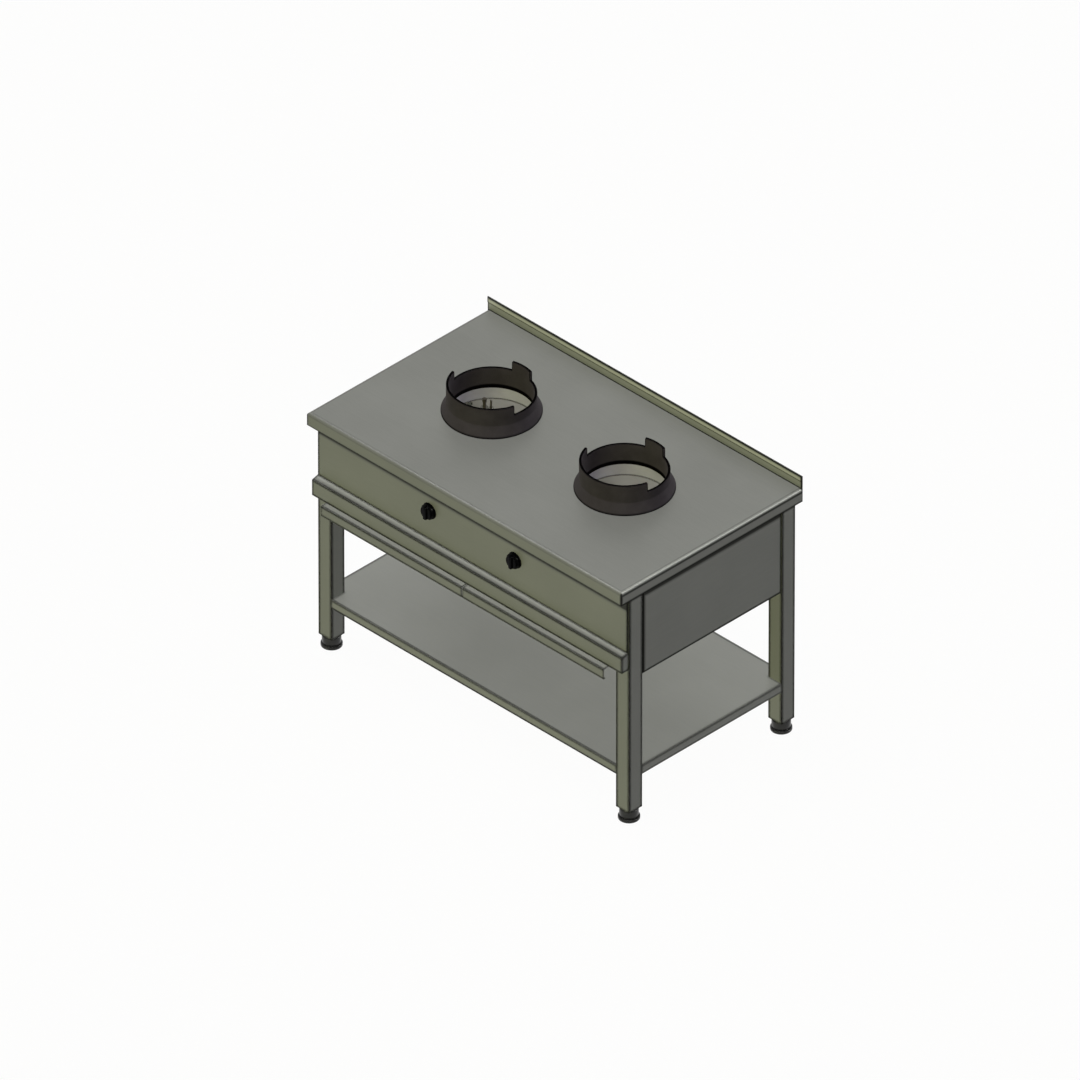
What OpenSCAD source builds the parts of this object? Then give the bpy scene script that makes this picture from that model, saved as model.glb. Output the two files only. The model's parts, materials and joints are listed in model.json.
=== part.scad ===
// Wok range with two burners, drip trays and a lower shelf. Millimetres.
// x runs right from the middle, y back and z up from the floor.

/* [Worktop] */
// Width of the worktop
table_w = 1300; // [1200:10:1500]
// Depth of the worktop, front to back
table_d = 750; // [720:10:850]
// Height of the worktop above the floor
table_h = 850; // [820:10:920]
// Sheet thickness of the worktop
top_t = 2; // [1.5:0.5:3]
// Height of the apron round the worktop
apron_h = 45; // [38:1:55]
// Outer radius of the bend between top and apron
bend_r = 9.5; // [5:0.5:12]
// Width of the flanges turned in under the front and back apron
apron_lip = 18; // [10:1:20]
// Height of the upstand along the back
upstand_h = 45; // [30:1:60]
// Height of the hem along the upstand's top edge
hem_h = 20; // [10:1:25]

/* [Frame] */
// Side of a square leg
leg_w = 54; // [45:1:60]
// Wall of a leg
leg_wall = 2; // [1.5:0.5:3]
// Distance from the worktop's side edge in to a leg
leg_side_in = 6; // [4:0.5:12]
// Distance from the worktop's front edge back to a front leg
leg_front_in = 39; // [36:1:50]
// Distance from the worktop's back edge in to a back leg
leg_back_in = 25; // [22:1:40]
// Sheet thickness of the panels, runners, trays and shelf
panel_t = 1.5; // [1:0.5:2]
// Width of the flanges that stiffen the panels
flange_w = 20; // [12:1:25]
// Distance that a side or back panel lies in from the legs' outer faces
panel_in = 4; // [2:0.5:8]
// Distance from the rail's underside down to the panels' lower edge
panel_drop = 41; // [30:1:60]
// Width of the stiffening channels
channel_w = 40; // [30:1:50]
// Height of the stiffening channels
channel_h = 25; // [15:1:28]

/* [Control panel and rail] */
// Distance that the control panel stands out from the legs
panel_stand = 4; // [3.5:0.5:8]
// Distance from the worktop's side edge in to the control panel's end
panel_end_in = 10; // [8:1:14]
// Distance from the worktop down to the lower edge of the control panel
panel_low = 235; // [215:1:260]
// Distance that the rail stands out from the control panel
rail_out = 24; // [15:1:30]
// Drop of the rail's sloping top
rail_slope = 7; // [3:1:12]
// Height of the rail's front face
rail_h = 55; // [45:1:70]
// Distance from the worktop's side edge in to the rail's end
rail_end_in = 9; // [8:1:13]

/* [Drip trays] */
// Distance that the pull lip stands out from the rail
lip_out = 19; // [12:1:30]
// Height of the pull lip
lip_h = 34.8; // [25:0.1:40]
// Drop of the pull lip's sloping top
lip_slope = 2.3; // [1:0.1:5]
// Gap between the two pull lips
lip_gap = 3; // [2:0.5:6]
// Gap between a pull lip and the leg beside it
lip_end_gap = 5; // [3:0.5:10]
// Length of a tray behind its pull lip
tray_d = 595; // [540:5:620]
// Depth of a tray below its rim
tray_h = 28; // [20:1:34]
// Width of a tray's rim
rim_w = 20; // [16:1:24]
// Gap between a tray's rim and the web of its outer runner
rim_gap = 12; // [6:1:16]
// Height of a runner's web
runner_h = 35; // [28:1:45]
// Width of a runner's ledge
ledge_w = 25; // [22:1:28]

/* [Shelf and feet] */
// Height of the shelf's top above the floor
shelf_z = 187; // [150:1:230]
// Height of the shelf's edge
shelf_edge = 31; // [28:1:40]
// Distance from the back legs' outer faces in to the shelf's edge
shelf_back_in = 5; // [0:1:10]
// Height of a foot below its leg
foot_h = 40; // [34:1:50]
// Radius of a foot's pad
pad_r = 33; // [31:1:36]
// Radius of a foot's collar
collar_r = 29; // [22:1:29]
// Radius of a foot's stem
stem_r = 6; // [5:0.5:8]
// Length of a foot's stem above its collar
stem_l = 62; // [55:1:80]

/* [Wok rings] */
// Distance of each wok ring from the middle
burner_x = 275; // [260:1:300]
// Distance of the wok rings from the worktop's front edge
burner_y = 390; // [370:1:420]
// Radius of the ring's bore
ring_bore_r = 126; // [115:1:128]
// Outer radius of the ring's upright wall
ring_r = 134; // [132:1:138]
// Outer radius of the ring's skirt on the worktop
skirt_r = 150; // [145:1:160]
// Height at which the skirt meets the upright wall
skirt_h = 36; // [25:1:45]
// Height of the ring's tall front and back parts
ring_high = 95; // [80:1:105]
// Height of the ring's low parts at both sides
ring_low = 64; // [50:1:70]
// Half angle of the tall front part
front_half = 75; // [60:1:80]
// Half angle of the tall back part
back_half = 17; // [10:1:25]
// Depth of the ring's spigot below the worktop
spigot_h = 8; // [6:1:20]

/* [Burners] */
// Radius of the bowl under a wok ring
bowl_r = 140; // [138:1:146]
// Depth of the bowl's upright wall below the worktop
bowl_wall_h = 56; // [50:1:62]
// Fall of the bowl's bottom towards the burner
bowl_fall = 19; // [12:1:24]
// Radius of the hole in the bowl's bottom
bowl_hole_r = 75; // [68:1:80]
// Width of the bowl's flange
bowl_flange = 25; // [20:1:28]
// Radius of a burner head
head_r = 58; // [50:1:62]
// Height of a burner head
head_h = 45; // [35:1:48]
// Height of a burner's gas chamber
chamber_h = 55; // [50:1:60]
// Height of a burner's foot
burner_foot_h = 30; // [26:1:34]
// Number of flame ports round a burner head
port_count = 24; // [16:1:30]
// Outer radius of the mixing tube
mixer_r = 22; // [20:0.5:24]
// Bore radius of the mixing tube
mixer_bore_r = 17; // [14:0.5:18]
// Distance from the worktop's front edge to the mixing tube's mouth
mouth_y = 150; // [140:1:170]

/* [Gas and knobs] */
// Distance of each knob from the middle
knob_x = 176.5; // [165:0.5:190]
// Distance of the knobs below the worktop
knob_drop = 134; // [128:1:140]
// Radius of a bezel
bezel_r = 27; // [26:0.5:30]
// Radius of a knob's skirt
knob_r = 25; // [22:0.5:26]
// Thickness of a knob's skirt
knob_skirt = 4.5; // [3:0.5:6]
// Height of a knob's round body in front of its skirt
knob_body = 7; // [4:0.5:9]
// Distance that the grip stands out in front of a knob's skirt
grip_h = 12; // [9:0.5:15]
// Width of the grip
grip_w = 14; // [10:0.5:18]
// Length of the grip
grip_l = 44; // [36:1:46]
// Travel of a knob when it is pushed in
push = 4; // [3:0.5:5]
// Radius of a tap's spindle
spindle_r = 4; // [3:0.5:5]
// Outer radius of the gas pipe in the manifold
supply_r = 10.65; // [9:0.05:11.5]
// Outer radius of the gas inlet's thread
inlet_r = 13.22; // [12.5:0.01:14]
// Bore radius of the gas inlet
inlet_bore_r = 9; // [6:0.5:10]
// Distance of the gas supply pipe from the middle
supply_x = 60; // [45:1:80]
// Radius of the pipe from a tap to its injector
pipe_r = 5; // [4:0.5:6]

/* [Hidden] */
$fn = 64;

// Overrun of every cut
over = 1;
// Radial clearance of a shaft that turns or slides in its bore
fit = 0.08;
// Rest gap between a loose piece and its seat
seat = 0.3;
// Radial clearance of a screw in its hole
screw_gap = 0.3;
// Steps round a quarter bend
bend_steps = 6;

// Worktop and legs
half_w = table_w / 2;
under_z = table_h - top_t;
apron_z = table_h - apron_h;
hem_t = panel_t;
leg_x1 = half_w - leg_side_in;
leg_x0 = leg_x1 - leg_w;
leg_fy0 = leg_front_in;
leg_fy1 = leg_fy0 + leg_w;
leg_by1 = table_d - leg_back_in;
leg_by0 = leg_by1 - leg_w;
leg_top_gap = 1.5 * panel_t;
leg_z1 = under_z - leg_top_gap;
leg_mid_x = (leg_x0 + leg_x1) / 2;
leg_front_y = (leg_fy0 + leg_fy1) / 2;
leg_back_y = (leg_by0 + leg_by1) / 2;
leg_pos = [[-leg_mid_x, leg_front_y], [leg_mid_x, leg_front_y], [-leg_mid_x, leg_back_y], [leg_mid_x, leg_back_y]];

// Panels and rail
panel_y = leg_fy0 - panel_stand;
panel_z = table_h - panel_low;
panel_x = half_w - panel_end_in;
flange_z = under_z - panel_t;
rail_y = panel_y - rail_out;
rail_edge_z = panel_z - rail_slope;
rail_z = rail_edge_z - rail_h;
rail_x = half_w - rail_end_in;
rail_lip = 12;
rail_flange = 25;
side_x = leg_x1 - panel_in;
back_y = leg_by1 - panel_in;
side_z = rail_z - panel_drop;
back_in_y = back_y - panel_t;
side_in_x = side_x - panel_t;

// Runners and trays
runner_in = 6;
runner_y = leg_fy0 + runner_in;
tray_gap_z = 2 * seat;
lip_z1 = rail_z - tray_gap_z;
lip_z0 = lip_z1 - lip_slope - lip_h;
lip_y = rail_y - lip_out;
lip_turn = 8;
lip_x0 = lip_gap / 2;
lip_x1 = leg_x0 - lip_end_gap;
lip_step = 5.1;
ledge_z = lip_z1 - lip_step;
rim_z = ledge_z + seat;
rim_x0 = rim_w / 2;
rim_x1 = leg_x0 - panel_t - rim_gap;
pan_x0 = rim_x0 + rim_w;
pan_x1 = rim_x1 - rim_w;
pan_z = rim_z + panel_t - tray_h;
pan_y1 = runner_y + tray_d;
divider_in = 15;
divider_y = mouth_y + divider_in;
mid_y = (table_d + lip_y) / 2;
screw_z = ledge_z + runner_h / 2;
screw_head_r = 4.5;
screw_head_h = 2.5;
screw_r = 2.4;
screw_l = 8;

// Feet
pad_h = 10;
pad_chamfer = 2;
groove_r = 25;
groove_h = 3;
collar_chamfer = 1.5;
collar_gap = 2 * seat;
collar_top = foot_h - collar_gap;
insert_t = 6;
insert_boss_r = 11;
insert_boss_h = 24;

// Wok rings and bowls
bowl_gap = 7;
spigot_wall = 7;
spigot_r = bowl_r - bowl_gap;
spigot_bore_r = spigot_r - spigot_wall;
skirt_edge = 4;
spigot_gap = 1.5;
hole_r = spigot_r + spigot_gap;
bowl_t = panel_t;
nut_count = 4;
nut_r = 4.6;
nut_h = 4;
stud_r = 2.4;
stud_circle_r = bowl_r + bowl_t + (bowl_flange - bowl_t) / 2;
flange_holes_r = stud_r + screw_gap;
pilot_dx = 90;
pilot_dy = 60;
pilot_r = 5;
pilot_tip_drop = 33;
pilot_hood_r = 7;
pilot_hood_h = 9;
probe_dx = 75;
probe_dy = 72;
probe_r = 3;
probe_tip_drop = 38;
probe_gap = 3;
pilot_gap = 4;
sight_dx = 128;
sight_dy = 38;
sight_r = 6;

// Burners: the mixing tubes lie level with the taps
tap_z = table_h - knob_drop;
mixer_floor = 4;
chamber_z = tap_z - mixer_r - mixer_floor;
head_z = chamber_z + chamber_h;
channel_top = chamber_z - burner_foot_h;
chamber_t = 6;
chamber_step = 2;
chamber_r = head_r + chamber_step;
chamber_flare = 2;
chamber_low_r = 30;
chamber_low_share = 0.58;
burner_foot_r = 22;
burner_flange_r = 36;
burner_flange_t = 8;
bolt_r = 3;
bolt_hex_r = 5.8;
bolt_head_h = 4;
bolt_nut_h = 5;
bolt_x = 28.5;
carrier_t = 2;
carrier_w = 60;
carrier_h = 25;
port_w = 3;
port_h = 12;
port_depth = 10;
cap_h = 10;
cap_r = 24;
mouth_t = 8;
mouth_r = 30;
bridge_out = 28;
bridge_y = mouth_y - bridge_out;
bridge_t = 6;
bridge_w = 14;
arm_t = 6;

// Injectors, taps and pipes
injector_r = 6;
injector_hex_r = 9;
injector_hex_l = 14;
jet_r = 3.5;
jet_l = 14;
injector_y = bridge_y - injector_hex_l;
tail_l = 8;
tail_wall = 1;
pipe_bend = 14;
tap_w = 36;
tap_h = 40;
tap_gap = 8.5;
tap_l = 50;
tap_y0 = panel_y + panel_t + tap_gap;
tap_y1 = tap_y0 + tap_l;
bush_r = 11;
bush_l = 5;
plunger_step = 1;
plunger_r = spindle_r + plunger_step;
plunger_l = 21;
spring_l = 6;
plunger_room = plunger_l + push + spring_l;
outlet_r = 9;
outlet_l = 6;
pipe_y = injector_y - tail_l - pipe_bend - panel_t;
manifold_in = 30;
manifold_y = tap_y0 + manifold_in;
boss_w = 28;
boss_h = 13;
manifold_z = tap_z - tap_h / 2 - boss_h;
manifold_end = 85;
manifold_x = knob_x + manifold_end;
tee_r = 14;
tee_l = 20;
inlet_hex_r = 19;
inlet_hex_l = 24;
inlet_l = 26;
inlet_neck_l = 2;
inlet_neck_r = 12.2;
inlet_gap = 1;
bracket_out = 68.5;
bracket_x = knob_x + bracket_out;
bracket_t = 3;
bracket_w = 46;
bracket_flange = 15;
pilot_pipe_r = 2;
pilot_pipe_bend = 8;
lead_r = 1.5;
plate_t = 3;
plate_edge = 10;
side_step = 10;
shelf_channel_shares = [0.3, 0.7];
vent_w = 80;
vent_h = 6;
vent_pitch = 18;
vent_rows = 5;

// Knobs
bezel_t = 2;
bezel_y = panel_y - bezel_t;
bezel_cone = 1;
spindle_room = 3;
spindle_hole_r = spindle_r + spindle_room;
push_spare = 0.5;
knob_gap = push + push_spare;
knob_y = bezel_y - knob_gap;
knob_step = 4;
knob_body_r = knob_r - knob_step;
knob_taper = 1;
spindle_in_knob = 6;
spindle_in_tap = 12;
spindle_y0 = knob_y - knob_skirt - spindle_in_knob;
spindle_y1 = tap_y0 + spindle_in_tap;
spindle_bush_l = 10;
pointer_w = 2;
pointer_t = 0.8;

// Quarter bend in a section: points about centre c from angle a0 to a1
function bend(c, r, a0, a1) = [
    for (i = [0 : bend_steps])
        let (a = a0 + (a1 - a0) * i / bend_steps) c + r * [cos(a), sin(a)]
];

// Worktop section from the side, t inside the sheet's outer face, down to z0
function pan_side(t, z0) = concat(
    [[table_d - t, z0], [table_d - t, table_h - t]],
    bend([bend_r, table_h - bend_r], bend_r - t, 90, 180),
    [[t, z0]]
);

// Worktop section from the front
function pan_front(t, z0) = concat(
    [[half_w - t, z0]],
    bend([half_w - bend_r, table_h - bend_r], bend_r - t, 0, 90),
    bend([bend_r - half_w, table_h - bend_r], bend_r - t, 90, 180),
    [[t - half_w, z0]]
);

// Wedge that covers the angles from a0 to a1 out to radius r
function wedge(r, a0, a1) = [[0, 0], for (i = [0 : 2]) let (a = a0 + (a1 - a0) * i / 2) r * [cos(a), sin(a)]];

// Block between two values on each axis
module block(x0, x1, y0, y1, z0, z1) {
    translate([x0, y0, z0]) cube([x1 - x0, y1 - y0, z1 - z0]);
}

// Section in y and z drawn out along x
module along_x(x0, x1) {
    translate([x0, 0, 0]) rotate([90, 0, 90]) linear_extrude(x1 - x0) children();
}

// Section in x and z drawn out along y
module along_y(y0, y1) {
    translate([0, y1, 0]) rotate([90, 0, 0]) linear_extrude(y1 - y0) children();
}

// Shape built upwards from z = 0, turned to point forwards from y
module forwards(y) {
    translate([0, y, 0]) rotate([90, 0, 0]) children();
}

// Round bar between two points
module rod(a, b, r) {
    d = b - a;
    translate(a) rotate([0, acos(d[2] / norm(d)), atan2(d[1], d[0])]) cylinder(h = norm(d), r = r);
}

// Quarter elbow at corner p, turning from direction u to direction v
module elbow(p, u, v, r, turn) {
    w = cross(u, v);
    c = p - turn * u + turn * v;
    multmatrix([[-v[0], u[0], w[0], c[0]], [-v[1], u[1], w[1], c[1]], [-v[2], u[2], w[2], c[2]]])
        rotate_extrude(angle = 90) translate([turn, 0]) circle(r);
}

// Round pipe through corners that all turn by a right angle
module pipe(p, r, turn) {
    last = len(p) - 1;
    dirs = [for (i = [0 : last - 1]) (p[i + 1] - p[i]) / norm(p[i + 1] - p[i])];
    for (i = [0 : last - 1])
        rod(p[i] + (i > 0 ? turn : 0) * dirs[i], p[i + 1] - (i < last - 1 ? turn : 0) * dirs[i], r);
    for (i = [1 : last - 1])
        elbow(p[i], dirs[i - 1], dirs[i], r, turn);
}

// Left-hand copy of a right-hand piece
module left() {
    mirror([1, 0, 0]) children();
}

// Moves the range so that the middle of its footprint is the origin
module place() {
    translate([0, -mid_y, 0]) children();
}

module pan(t, z0) {
    intersection() {
        along_x(-half_w, half_w) polygon(pan_side(t, z0));
        along_y(0, table_d) polygon(pan_front(t, z0));
    }
}

module worktop() {
    color("silver") {
        difference() {
            pan(0, apron_z);
            pan(top_t, apron_z - over);
            for (side = [-1, 1])
                translate([side * burner_x, burner_y, under_z - over]) cylinder(h = top_t + 2 * over, r = hole_r);
        }
        block(-half_w, half_w, table_d - top_t, table_d, table_h - bend_r, table_h + upstand_h);
        block(-half_w, half_w, table_d - top_t - hem_t, table_d - top_t,
            table_h + upstand_h - hem_h, table_h + upstand_h);
        block(top_t - half_w, half_w - top_t, top_t, apron_lip, apron_z, apron_z + top_t);
        block(top_t - half_w, half_w - top_t, table_d - apron_lip, table_d - top_t, apron_z, apron_z + top_t);
    }
}

// Channel open at the top, from z0 up to z1, centred on v = 0 in its section
module channel_section(w, z0, z1, t) {
    translate([-w / 2, z0]) square([w, t]);
    translate([-w / 2, z0]) square([t, z1 - z0]);
    translate([w / 2 - t, z0]) square([t, z1 - z0]);
}

module worktop_channels() {
    x = (burner_x + bowl_r + bowl_flange + side_x - flange_w) / 2;
    color("gray")
        for (side = [-1, 1])
            translate([side * x, 0, 0])
                along_y(panel_y + 2 * flange_w, back_y - 2 * flange_w)
                    channel_section(channel_w, under_z - channel_h, under_z, panel_t);
}

module control_panel() {
    color("silver")
        difference() {
            union() {
                block(-panel_x, panel_x, panel_y, panel_y + panel_t, panel_z, under_z);
                block(-panel_x, panel_x, panel_y, panel_y + flange_w, flange_z, under_z);
                for (x = [-panel_x, panel_x - panel_t])
                    block(x, x + panel_t, panel_y, leg_fy0, panel_z, under_z);
            }
            for (side = [-1, 1])
                translate([side * knob_x, 0, tap_z])
                    forwards(panel_y + panel_t + over) cylinder(h = panel_t + 2 * over, r = spindle_hole_r);
        }
}

module front_rail() {
    fy0 = panel_y + panel_t;
    fy1 = fy0 + panel_t;
    rise = rail_slope / rail_out;
    dz = panel_t * sqrt(1 + rise * rise);
    color("silver") {
        along_x(-rail_x, rail_x) polygon([
            [fy1, panel_z], [panel_y, panel_z], [rail_y, rail_edge_z],
            [rail_y, rail_z], [leg_fy0, rail_z], [leg_fy0, rail_z + rail_lip],
            [leg_fy0 - panel_t, rail_z + rail_lip], [leg_fy0 - panel_t, rail_z + panel_t],
            [rail_y + panel_t, rail_z + panel_t], [rail_y + panel_t, rail_edge_z + panel_t * rise - dz],
            [fy1, panel_z + (fy1 - panel_y) * rise - dz]
        ]);
        block(panel_t - panel_x, panel_x - panel_t, fy0, fy1, panel_z, panel_z + rail_flange);
        for (x = [-rail_x, rail_x - panel_t])
            along_x(x, x + panel_t) polygon([
                [panel_y, panel_z], [rail_y, rail_edge_z], [rail_y, rail_z], [leg_fy0, rail_z], [leg_fy0, panel_z]
            ]);
    }
}

module side_panel() {
    color("gray") {
        block(side_in_x, side_x, leg_fy1, leg_by0, side_z, under_z);
        block(side_x - flange_w, side_x, leg_fy1, leg_by0, flange_z, under_z);
    }
}

module back_panel() {
    vents_z = side_z + (under_z - side_z) / 2 - (vent_rows - 1) * vent_pitch / 2;
    color("gray")
        difference() {
            union() {
                block(-leg_x0, leg_x0, back_in_y, back_y, side_z, under_z);
                block(-leg_x0, leg_x0, back_y - flange_w, back_y, flange_z, under_z);
            }
            translate([supply_x, 0, manifold_z])
                forwards(back_y + over) cylinder(h = panel_t + 2 * over, r = inlet_r + inlet_gap);
            for (side = [-1, 1])
                for (i = [0 : vent_rows - 1])
                    for (j = [-1, 0, 1])
                        translate([side * leg_x0 / 2 + j * vent_w * 1.5 - vent_w / 2, 0, vents_z + i * vent_pitch])
                            block(0, vent_w, back_in_y - over, back_y + over, 0, vent_h);
        }
}

module centre_divider() {
    color("gray") {
        block(-panel_t / 2, panel_t / 2, divider_y, back_in_y, ledge_z, flange_z);
        block(-panel_t / 2, flange_w, divider_y, back_y - 2 * flange_w, flange_z, under_z);
    }
}

module leg(x, y) {
    color("silver")
        difference() {
            translate([x - leg_w / 2, y - leg_w / 2, foot_h]) cube([leg_w, leg_w, leg_z1 - foot_h]);
            translate([x - leg_w / 2 + leg_wall, y - leg_w / 2 + leg_wall, foot_h - over])
                cube([leg_w - 2 * leg_wall, leg_w - 2 * leg_wall, leg_z1 - foot_h + 2 * over]);
            runner_screw_holes();
        }
}

module leg_inserts() {
    w = leg_w - 2 * leg_wall;
    color("dimgray")
        for (p = leg_pos)
            translate([p[0], p[1], foot_h])
                difference() {
                    union() {
                        translate([-w / 2, -w / 2, 0]) cube([w, w, insert_t]);
                        cylinder(h = insert_boss_h, r = insert_boss_r);
                    }
                    translate([0, 0, -over]) cylinder(h = insert_boss_h + 2 * over, r = stem_r + fit);
                }
}

module foot(p) {
    color("dimgray")
        translate([p[0], p[1], 0])
            rotate_extrude() polygon([
                [0, 0], [pad_r - pad_chamfer, 0], [pad_r, pad_chamfer], [pad_r, pad_h - pad_chamfer],
                [pad_r - pad_chamfer, pad_h], [groove_r, pad_h], [groove_r, pad_h + groove_h],
                [collar_r, pad_h + groove_h + collar_chamfer], [collar_r, collar_top - collar_chamfer],
                [collar_r - collar_chamfer, collar_top], [stem_r, collar_top], [stem_r, collar_top + stem_l],
                [0, collar_top + stem_l]
            ]);
}

// Holes of the screws that hold the outer runners to the legs
module runner_screw_holes() {
    for (side = [-1, 1])
        for (y = [leg_front_y, leg_back_y])
            rod([side * (leg_x0 - panel_t - over), y, screw_z], [side * (leg_x0 + leg_wall + over), y, screw_z],
                screw_r + screw_gap);
}

module runner_screws() {
    x = leg_x0 - panel_t;
    color("lightgray")
        for (side = [-1, 1])
            for (y = [leg_front_y, leg_back_y]) {
                rod([side * (x - screw_head_h), y, screw_z], [side * x, y, screw_z], screw_head_r);
                rod([side * x, y, screw_z], [side * (x + screw_l), y, screw_z], screw_r);
            }
}

module runner_side() {
    x = leg_x0 - panel_t;
    color("gray")
        difference() {
            union() {
                block(x, leg_x0, runner_y, back_in_y, ledge_z - panel_t, ledge_z - panel_t + runner_h);
                block(x - ledge_w, leg_x0, runner_y, back_in_y, ledge_z - panel_t, ledge_z);
            }
            runner_screw_holes();
        }
}

module runner_middle() {
    color("gray") {
        block(-rim_w, rim_w, runner_y, back_in_y, ledge_z - panel_t, ledge_z);
        block(panel_t / 2, 1.5 * panel_t, divider_y, back_in_y, ledge_z - panel_t, ledge_z + runner_h / 2);
    }
}

module drip_tray() {
    front_z = lip_z1 - lip_slope;
    color("silver") {
        difference() {
            block(pan_x0, pan_x1, runner_y, pan_y1, pan_z, rim_z + panel_t);
            block(pan_x0 + panel_t, pan_x1 - panel_t, runner_y + panel_t, pan_y1 - panel_t,
                pan_z + panel_t, rim_z + panel_t + over);
        }
        block(pan_x0, pan_x1, runner_y, runner_y + panel_t, pan_z, lip_z1);
        block(rim_x0, pan_x0, runner_y + panel_t, pan_y1, rim_z, rim_z + panel_t);
        block(pan_x1, rim_x1, runner_y + panel_t, pan_y1, rim_z, rim_z + panel_t);
        along_x(lip_x0, lip_x1) polygon([
            [runner_y + panel_t, lip_z1], [rail_y, lip_z1], [lip_y, front_z], [lip_y, lip_z0],
            [lip_y + lip_turn, lip_z0], [lip_y + lip_turn, lip_z0 + panel_t], [lip_y + panel_t, lip_z0 + panel_t],
            [lip_y + panel_t, front_z - panel_t], [rail_y, lip_z1 - panel_t], [runner_y + panel_t, lip_z1 - panel_t]
        ]);
    }
}

module shelf() {
    y1 = leg_by1 - shelf_back_in;
    color("silver")
        difference() {
            block(-leg_x1, leg_x1, leg_fy0, y1, shelf_z - shelf_edge, shelf_z);
            block(panel_t - leg_x1, leg_x1 - panel_t, leg_fy0 + panel_t, y1 - panel_t,
                shelf_z - shelf_edge - over, shelf_z - panel_t);
            for (x = [-leg_x1 - over, leg_x0])
                for (y = [[leg_fy0 - over, leg_fy1], [leg_by0, leg_by1 + over]])
                    block(x, x + leg_w + over, y[0], y[1], shelf_z - shelf_edge - over, shelf_z + over);
        }
}

module shelf_channels() {
    color("gray")
        for (share = shelf_channel_shares)
            translate([0, leg_fy0 + (leg_by1 - leg_fy0) * share, 0])
                rotate([0, 0, 90])
                    along_y(panel_t - leg_x1, leg_x1 - panel_t)
                        channel_section(channel_w, shelf_z - panel_t - channel_h, shelf_z - panel_t, panel_t);
}

module wok_ring() {
    low_from = front_half - 90;
    low_to = 90 - back_half;
    color([0.2, 0.175, 0.16])
        translate([burner_x, burner_y, table_h])
            difference() {
                rotate_extrude($fn = 96) polygon([
                    [spigot_bore_r, -spigot_h], [spigot_r, -spigot_h], [spigot_r, seat], [skirt_r, seat],
                    [skirt_r, seat + skirt_edge], [ring_r, skirt_h], [ring_r, ring_high], [ring_bore_r, ring_high]
                ]);
                for (a = [[low_from, low_to], [180 - low_to, 180 - low_from]])
                    translate([0, 0, ring_low]) linear_extrude(ring_high - ring_low + over)
                        polygon(wedge(2 * skirt_r, a[0], a[1]));
            }
}

module burner_bowl() {
    z0 = -top_t;
    z1 = -bowl_wall_h;
    z2 = z1 - bowl_fall;
    color("silver")
        translate([burner_x, burner_y, table_h])
            difference() {
                rotate_extrude($fn = 96) polygon([
                    [bowl_r, z0], [bowl_r + bowl_flange, z0], [bowl_r + bowl_flange, z0 - bowl_t],
                    [bowl_r + bowl_t, z0 - bowl_t], [bowl_r + bowl_t, z1 - bowl_t], [bowl_hole_r, z2 - bowl_t],
                    [bowl_hole_r, z2], [bowl_r, z1]
                ]);
                for (i = [0 : nut_count - 1])
                    rotate([0, 0, 45 + i * 360 / nut_count])
                        translate([stud_circle_r, 0, z0 - bowl_t - over])
                            cylinder(h = bowl_t + 2 * over, r = flange_holes_r);
                for (h = [[pilot_dx, pilot_dy, pilot_r + pilot_gap], [probe_dx, probe_dy, probe_r + probe_gap],
                        [sight_dx, sight_dy, sight_r]])
                    translate([h[0], h[1], z2 - bowl_t - over])
                        cylinder(h = bowl_fall + bowl_t + 2 * over, r = h[2]);
            }
}

module bowl_nuts() {
    color("lightgray")
        for (side = [-1, 1])
            for (i = [0 : nut_count - 1])
                translate([side * burner_x, burner_y, 0])
                    rotate([0, 0, 45 + i * 360 / nut_count])
                        translate([stud_circle_r, 0, under_z - bowl_t - nut_h]) {
                            cylinder(h = nut_h, r = nut_r, $fn = 6);
                            cylinder(h = nut_h + bowl_t, r = stud_r);
                        }
}

// Cross channel under one burner, with its web on top
module burner_channel() {
    color("gray")
        difference() {
            translate([0, burner_y, 0]) {
                block(panel_t / 2, side_in_x, -carrier_w / 2, carrier_w / 2, channel_top - carrier_t, channel_top);
                for (y = [-carrier_w / 2, carrier_w / 2 - carrier_t])
                    block(panel_t / 2, side_in_x, y, y + carrier_t, channel_top - carrier_h, channel_top);
            }
            burner_bolt_holes();
        }
}

module burner_bolt_holes() {
    for (dx = [-bolt_x, bolt_x])
        translate([burner_x + dx, burner_y, channel_top - carrier_t - over])
            cylinder(h = carrier_t + burner_flange_t + 2 * over, r = bolt_r + screw_gap);
}

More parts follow.
